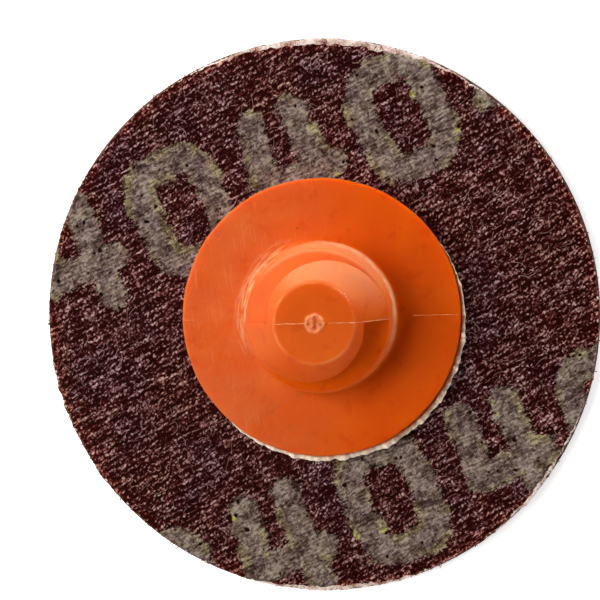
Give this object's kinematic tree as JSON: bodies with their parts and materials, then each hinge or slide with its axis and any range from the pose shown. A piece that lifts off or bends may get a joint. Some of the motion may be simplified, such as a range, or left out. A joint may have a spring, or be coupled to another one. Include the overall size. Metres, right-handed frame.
{
  "type": "quick-change abrasive disc",
  "caption": "Round coated-abrasive cloth disc with a moulded button glued to its back, whose tapered post has a quick-turn screw thread for a backing pad.",
  "frame": {"origin": "centre of the grit face, on the surface that the disc lies on", "axes": "+Z along the button's axis from the grit face to the post's end; +X along the button's mould parting line, to the right in the picture; +Y up in the picture"},
  "size_m": [0.0508, 0.0508, 0.0114],
  "materials": {
    "orange_nylon": "injection-moulded nylon, satin gloss",
    "hot_melt_glue": "cream hot-melt glue, waxy",
    "brown_resin": "dark red-brown phenolic resin over cloth fibres, uneven gloss",
    "backing_cloth": "heavy woven cotton and polyester cloth, filled",
    "cloth_fill": "resin fill on the cloth's face",
    "make_coat_resin": "phenolic resin that holds the grain",
    "alumina_grain": "sharp brown fused-alumina grain",
    "size_coat_resin": "phenolic resin coat over the grain tips"
  },
  "bodies": {
    "root": {"threaded_button": "orange_nylon", "hot_melt_film": "hot_melt_glue", "back_size": "brown_resin", "cloth_backing": "backing_cloth", "front_fill": "cloth_fill", "make_coat": "make_coat_resin", "abrasive_grain": "alumina_grain", "size_coat": "size_coat_resin"}
  },
  "joints": []
}
